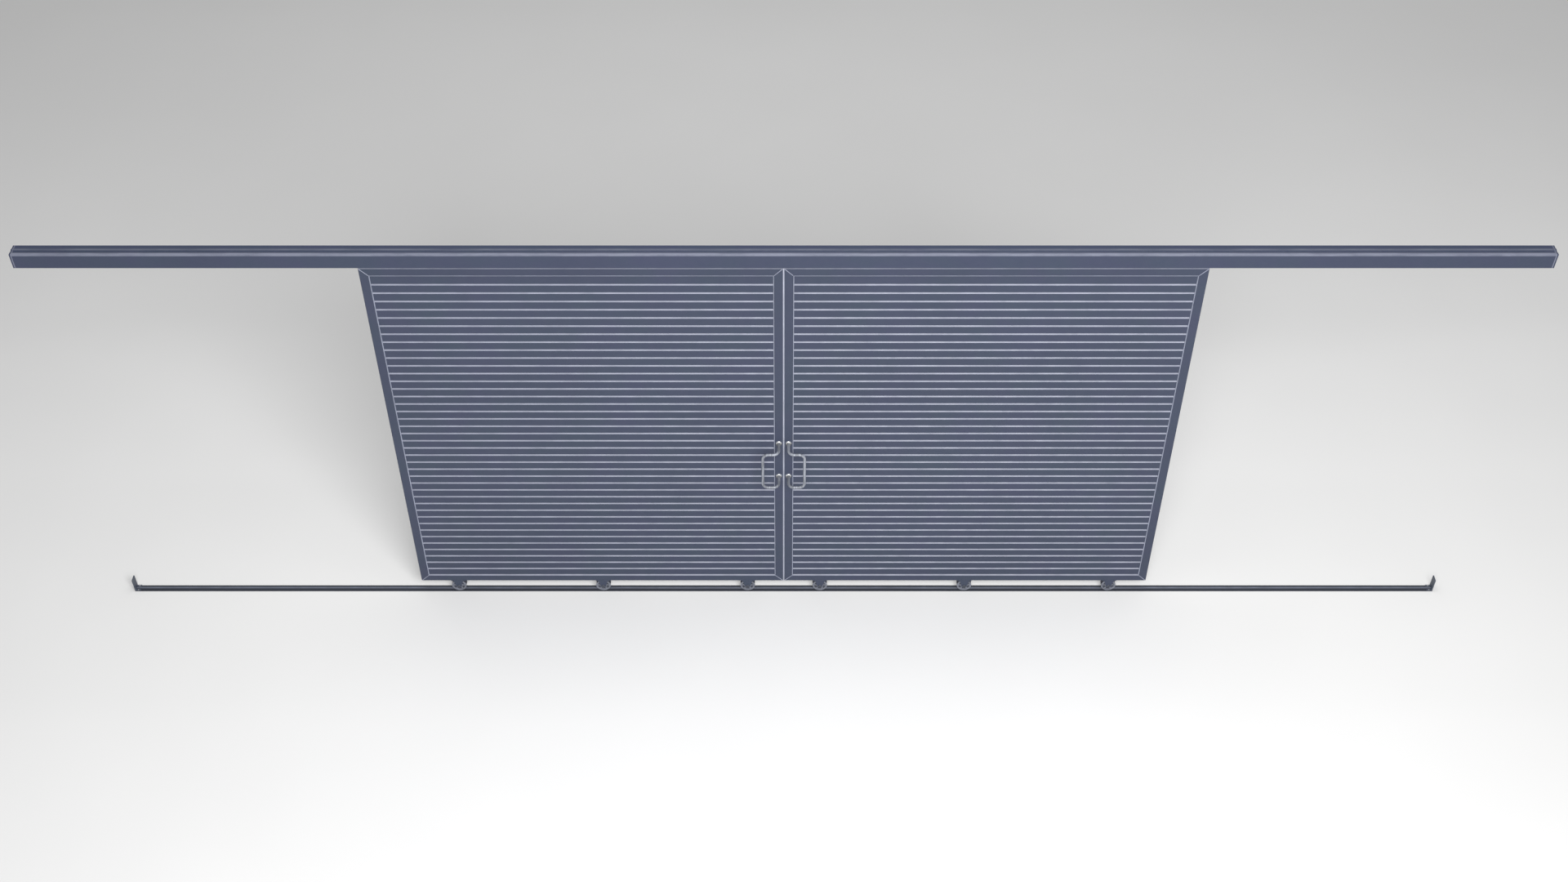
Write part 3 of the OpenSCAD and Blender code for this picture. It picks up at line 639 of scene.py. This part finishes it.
SOCKET = hexagon(6 * MM)
SOCKET_WALL = 3 * MM
SOCKET_DEEP = 2.4 * MM
HEAD = 10.5 * MM
HEAD_EDGE = 1 * MM
CROWN = 4.4 * MM
THREAD = 1.75 * MM
THREAD_DEEP = 0.7 * MM


def socket_head(r, t, angle):
    """Turns the inner wall of a head's recess into a hexagon."""
    return (SOCKET(angle), t) if abs(r - SOCKET_WALL) < 0.01 * MM else (r, t)


def make_axle_bolts(side):
    """Domed socket heads against the front cheeks, and threaded ends behind the nuts."""
    node = f"{side}_axle_bolts"
    low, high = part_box(node)
    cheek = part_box(f"{side}_wheel_brackets")[0].y
    nut_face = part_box(f"{side}_axle_nuts")[1].y
    face = low.y - cheek
    dome = [(HEAD - (HEAD - CROWN) * (1 - math.cos(a)), -HEAD_EDGE + (face + HEAD_EDGE) * math.sin(a))
            for a in quarter_turn(8)]
    profile = [(0, face + SOCKET_DEEP), (SOCKET_WALL, face + SOCKET_DEEP), (SOCKET_WALL, face + 0.2 * MM),
               (SOCKET_WALL + 0.5 * MM, face)] + dome[::-1] + [(HEAD, 0), (AXLE, 0)]
    start, end = nut_face - cheek - 1 * MM, high.y - cheek
    profile += [(AXLE, start)]
    for k in range(int((end - start) / THREAD)):
        profile += [(AXLE - THREAD_DEEP, start + (k + 0.5) * THREAD), (AXLE, start + (k + 1) * THREAD)]
    profile += [(AXLE - THREAD_DEEP - 0.1 * MM, end), (0, end)]
    bolts = [lathe("bolt", profile, (c.x, cheek, c.z), "Y", bolt_steel, 72, socket_head)
             for c in wheel_centres(side)]
    fit_out(joined(f"{side}_axle_bolt_set", bolts), f"{side}_leaf", "brushed_steel", node)


NUT = hexagon(18 * MM)
NUT_CORNER = 10.4 * MM
NUT_CUT = 1.6 * MM
NUT_CUT_TALL = 1.2 * MM
COLLAR = 8 * MM
COLLAR_TALL = 2.4 * MM


def make_axle_nuts(side):
    """Lock nuts: a chamfered hexagon on a washer face, with a round collar."""
    node = f"{side}_axle_nuts"
    low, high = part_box(node)
    tall = high.y - low.y
    bore = AXLE + 0.1 * MM
    steps = 4
    chamfer = [(NUT_CORNER - NUT_CUT * (1 - k / steps), k / steps * NUT_CUT_TALL) for k in range(steps + 1)]
    top = tall - COLLAR_TALL
    profile = ([(bore, 0)] + chamfer + [(r, top - t) for r, t in chamfer[::-1]]
               + [(COLLAR, top), (COLLAR, tall - 0.8 * MM), (COLLAR - 0.8 * MM, tall), (bore, tall)])

    def six_sided(r, t, angle):
        return min(r, NUT(angle)), t

    nuts = [lathe("nut", profile, (c.x, low.y, c.z), "Y", plated, 72, six_sided) for c in wheel_centres(side)]
    fit_out(joined(f"{side}_lock_nuts", nuts), f"{side}_leaf", "brushed_steel", node)


# ---------- head guides ----------

def make_guide_roller(side, pos):
    """A nylon roller with rounded rims and a shallow groove round its middle."""
    node = f"{side}_guide_roller_{pos}"
    low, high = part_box(node)
    centre = (low + high) / 2
    radius, half = (high.x - low.x) / 2, (high.z - low.z) / 2
    bore = 5.05 * MM
    taper, lip, groove, dip = 0.5 * MM, 3 * MM, 2 * MM, 0.8 * MM
    upper = [(radius - dip, groove), (radius, lip), (radius, half - lip), (radius - taper, half), (bore, half)]
    corners = [(r, -t) for r, t in reversed(upper)] + upper
    profile = [tuple(p) for p in fillet(corners, 1.2 * MM)]
    roller = lathe(f"{side}_{pos}_nylon_roller", profile, centre, "Z", roller_polymer, 72)
    fit_out(roller, f"{side}_{pos}_roller", "roller_polymer", node)


# ---------- handles ----------

BAR = 7 * MM
BEND = 30 * MM


def handle_ends(side):
    """Where the bar's centre line runs: the legs' and the grip's X, the leaf's face and the grip's Y, and
    the two heights."""
    low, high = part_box(f"{side}_handle")
    near, far = (low.x + BAR, high.x - BAR) if side == "right" else (high.x - BAR, low.x + BAR)
    return near, far, high.y, low.y + BAR, low.z + BAR, high.z - BAR


def make_handle(side):
    """A bar bent twice at each end, so that the grip stands clear of the leaf and beside its legs."""
    leg, grip, face, out, bottom, top = handle_ends(side)
    corners = [(leg, face, top), (leg, out, top), (grip, out, top),
               (grip, out, bottom), (leg, out, bottom), (leg, face, bottom)]
    path = fillet(corners, BEND, steps=14, closed=False)
    handle = tube(f"{side}_pull_handle", path, BAR, bar_steel)
    fit_out(handle, f"{side}_leaf", "handle_steel", f"{side}_handle")


def make_rosettes(side):
    """Domed covers over the ends of the handle's legs, with a rolled lip around the bar."""
    leg, _, face, _, bottom, top = handle_ends(side)
    node = f"{side}_handle_rosettes"
    low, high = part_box(node)
    thick = high.y - low.y
    radius = (high.x - low.x) / 2
    bore = BAR + 0.3 * MM
    lip = 1.2 * MM
    dome = [(bore + lip + (radius - bore - lip) * math.cos(a), -lip - (thick - lip) * math.sin(a))
            for a in quarter_turn(10)]
    profile = [(bore, 0), (radius, 0)] + dome + [(bore + 0.3 * MM, 0.4 * MM - thick), (bore, lip - thick)]
    covers = [lathe("cover", profile, (leg, face, z), "Y", bright_steel) for z in (bottom, top)]
    fit_out(joined(f"{side}_rosette_covers", covers), f"{side}_leaf", "rosette_steel", node)


# ---------- seals, gaskets and welds on the leaves ----------

def make_gasket(side):
    """A mitred bead of rubber down the sides and across the top of the slats, against the frame's lip."""
    stiles = [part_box(f"{side}_{part}_stile") for part in ("outer", "meeting")]
    inner = sorted((low.x, high.x) for low, high in stiles)
    x0, x1 = inner[0][1], inner[1][0]
    z0, z1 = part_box(f"{side}_bottom_rail")[1].z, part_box(f"{side}_top_rail")[0].z
    lip_y, slat_y = stiles[0][0].y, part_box(f"{side}_slats")[0].y
    width, proud, overlap = 3.8 * MM, 0.9 * MM, 0.2 * MM
    bead = [(width * math.cos(a), slat_y - (slat_y - lip_y + proud) * math.sin(a)) for a in quarter_turn(8)]
    profile = bead + [(-overlap, lip_y - proud), (-overlap, lip_y), (0, lip_y), (0, slat_y)]
    verts, faces = [], []
    for u, y in profile:
        verts += [(x0 + u, y, z0), (x0 + u, y, z1 - u), (x1 - u, y, z1 - u), (x1 - u, y, z0)]
    count = len(profile)
    for i in range(count):
        a, b = 4 * i, 4 * ((i + 1) % count)
        faces += [(a + k, a + k + 1, b + k + 1, b + k) for k in range(3)]
    faces += [tuple(4 * i + end for i in range(count)) for end in (0, 3)]
    gasket = new_object(f"{side}_slat_gasket", verts, faces, gasket_rubber)
    fit_out(gasket, f"{side}_leaf", "seal_rubber")


SEAL_GROOVES = 6
GROOVE_CUT = 0.7 * MM


def make_meeting_seal():
    """A seal strip: flat on the right leaf's edge, grooved towards the left leaf, with rounded corners there."""
    node = "right_meeting_seal"
    low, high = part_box(node)
    corner = (high.x - low.x) / 2
    mid = high.x - corner
    front = arc(mid, low.y + corner, corner, 270, 180, 6)
    back = arc(mid, high.y - corner, corner, 180, 90, 6)
    grooves = []
    pitch = (high.y - low.y - 2 * corner) / SEAL_GROOVES
    for k in range(SEAL_GROOVES):
        start = low.y + corner + k * pitch
        for x, share in ((low.x, 0.15), (low.x + GROOVE_CUT, 0.3), (low.x + GROOVE_CUT, 0.7), (low.x, 0.85)):
            grooves.append((x, start + share * pitch))
    outline = front + grooves + back + [(high.x, high.y), (high.x, low.y)]
    seal = upright_prism("right_bulb_seal", outline, low.z, high.z, seal_rubber)
    fit_out(seal, "right_leaf", "seal_rubber", node)


WELD = 2.1 * MM
WELD_RIPPLE = 0.35 * MM
WELD_STEP = 0.8 * MM
STEPS_PER_RIPPLE = 4


def weld_radius(i):
    """The bead swells and narrows as it was laid."""
    return WELD + WELD_RIPPLE * math.sin(i * 2 * math.pi / STEPS_PER_RIPPLE)


def make_post_welds(side):
    """Weld beads along the three open sides of the back post, at its head and its foot."""
    low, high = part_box(f"{side}_back_post")
    front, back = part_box(f"{side}_slats")[1].y + 2 * MM, high.y - 1.5 * MM
    beads = []
    for z in (low.z, high.z):
        corners = [(low.x, front, z), (low.x, back, z), (high.x, back, z), (high.x, front, z)]
        path = fillet(corners, 2 * MM, steps=5, closed=False)
        fine = []
        for a, b in zip(path, path[1:]):
            steps = max(1, int((b - a).length / WELD_STEP))
            fine += [a.lerp(b, k / steps) for k in range(steps)]
        fine.append(path[-1])
        beads.append(tube("bead", fine, weld_radius, leaf_coat, 14))
    fit_out(joined(f"{side}_post_welds", beads), f"{side}_leaf", "slate_paint")


# ---------- screws at the ends of the box and the track ----------

LOBES = 6
LOBE_DEEP = 0.14
RECESS_WALL = 1.7 * MM
# A countersunk head's section as (radius, depth), from the middle of its recess out and down to the shank
SCREW_HEAD = [(0, 1.4 * MM), (RECESS_WALL, 1.4 * MM), (RECESS_WALL, 0.15 * MM), (1.85 * MM, 0), (3.85 * MM, 0),
              (4 * MM, 0.15 * MM), (2 * MM, 2 * MM)]


def star_recess(r, t, angle):
    """Turns the inner wall of a screw's recess into a six-lobed star."""
    wall = abs(r - RECESS_WALL) < 0.01 * MM
    return (r * (1 + LOBE_DEEP * math.cos(LOBES * angle)), t) if wall else (r, t)


def star_screws(name, places, axis, inward, length, slot, material, *nodes):
    """Countersunk screws at the places. inward is the way their points face along the axis, -1 or 1."""
    profile = SCREW_HEAD + [(2 * MM, length), (0, length)]
    screws = [lathe("screw", [(r, t * way) for r, t in profile], place, axis, material, 72, star_recess)
              for place, way in zip(places, inward)]
    fit_out(joined(name, screws), "root", slot, *nodes)


def islands(node):
    """The boxes around the separate solids of a CAD node."""
    work = bmesh.new()
    work.from_mesh(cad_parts[node].data)
    bmesh.ops.remove_doubles(work, verts=work.verts, dist=1e-6)
    left = set(work.verts)
    boxes = []
    while left:
        queue, found = [left.pop()], []
        while queue:
            vert = queue.pop()
            found.append(vert.co.copy())
            for edge in vert.link_edges:
                other = edge.other_vert(vert)
                if other in left:
                    left.remove(other)
                    queue.append(other)
        low = Vector(min(p[i] for p in found) for i in range(3))
        high = Vector(max(p[i] for p in found) for i in range(3))
        boxes.append((low, high))
    work.free()
    return sorted(boxes, key=lambda b: tuple(b[0]))


def make_end_screws():
    """Screws through the guide box's end caps, and down through the track's end stops."""
    caps = islands("end_cap_screws")
    places = [(low.x if low.x < 0 else high.x, (low.y + high.y) / 2, (low.z + high.z) / 2) for low, high in caps]
    star_screws("end_cap_star_screws", places, "X", [1 if p[0] < 0 else -1 for p in places], 6 * MM,
                "zinc_steel", plated, "end_cap_screws")
    stops = islands("end_stop_screws")
    places = [((low.x + high.x) / 2, (low.y + high.y) / 2, high.z) for low, high in stops]
    star_screws("end_stop_star_screws", places, "Z", [-1] * len(places), 6 * MM, "zinc_steel", plated,
                "end_stop_screws")


TRACK_BASE = 4 * MM
TRACK_HOLE_SIDE = 14.5 * MM
TRACK_HOLE_FIRST = 0.3
TRACK_HOLE_PITCH = 0.6
TRACK_HOLE_PAIRS = 6


def make_track_screws():
    """Dark countersunk screws in the floor track's holes, which run in two rows from the middle both ways."""
    top = TRACK_BASE - 0.9 * MM
    along = [TRACK_HOLE_FIRST + k * TRACK_HOLE_PITCH for k in range(TRACK_HOLE_PAIRS)]
    places = [(sx * x, sy * TRACK_HOLE_SIDE, top) for x in along for sx in (-1, 1) for sy in (-1, 1)]
    star_screws("track_star_screws", places, "Z", [-1] * len(places), top - 0.2 * MM, "track_metal", screw_black)


for side in SIDES:
    for pos in WHEELS:
        make_wheel(side, pos)
        make_bearings(side, pos)
    for pos in ROLLERS:
        make_guide_roller(side, pos)
    make_axle_bolts(side)
    make_axle_nuts(side)
    make_handle(side)
    make_rosettes(side)
    make_gasket(side)
    make_post_welds(side)
make_meeting_seal()
make_end_screws()
make_track_screws()


# ---------- studio ----------

FLOOR_HALF = 120
WORLD_STRENGTH = 0.35


def make_floor():
    floor_finish = studio_floor("floor_finish", (0.745, 0.745, 0.743))
    corners = [(sx * FLOOR_HALF, sy * FLOOR_HALF, 0) for sx, sy in ((-1, -1), (1, -1), (1, 1), (-1, 1))]
    new_object("floor", corners, [(0, 1, 2, 3)], floor_finish)


def soft_light(name, place, target, size, power):
    """A white area light of the size in metres and the power in watts, turned towards the target."""
    data = bpy.data.lights.new(name, "AREA")
    data.shape = "RECTANGLE"
    data.size, data.size_y = size
    data.energy = power
    light = bpy.data.objects.new(name, data)
    light.location = place
    light.rotation_euler = (Vector(target) - Vector(place)).to_track_quat("-Z", "Y").to_euler()
    bpy.context.scene.collection.objects.link(light)


def make_studio():
    scene = bpy.context.scene
    scene.view_settings.view_transform = "Standard"
    scene.view_settings.look = "None"
    world = bpy.data.worlds.new("studio")
    world.use_nodes = True
    background = world.node_tree.nodes["Background"]
    background.inputs["Color"].default_value = (1, 1, 1, 1)
    background.inputs["Strength"].default_value = WORLD_STRENGTH
    scene.world = world
    soft_light("key", place=(1.3, -7.2, 7.6), target=(0.1, -1.1, 0), size=(6, 4), power=1120)
    soft_light("top", place=(0, 0, 9.5), target=(0, -0.6, 0), size=(8, 5), power=260)
    make_floor()


def make_camera():
    data = bpy.data.cameras.new("camera")
    data.sensor_width = SENSOR
    data.lens = LENS
    camera = bpy.data.objects.new("camera", data)
    camera.location = (CAMERA_SIDE, -CAMERA_BACK, CAMERA_UP)
    camera.rotation_euler = (CAMERA_PITCH, 0, 0)
    bpy.context.scene.collection.objects.link(camera)
    bpy.context.scene.camera = camera


make_camera()
make_studio()
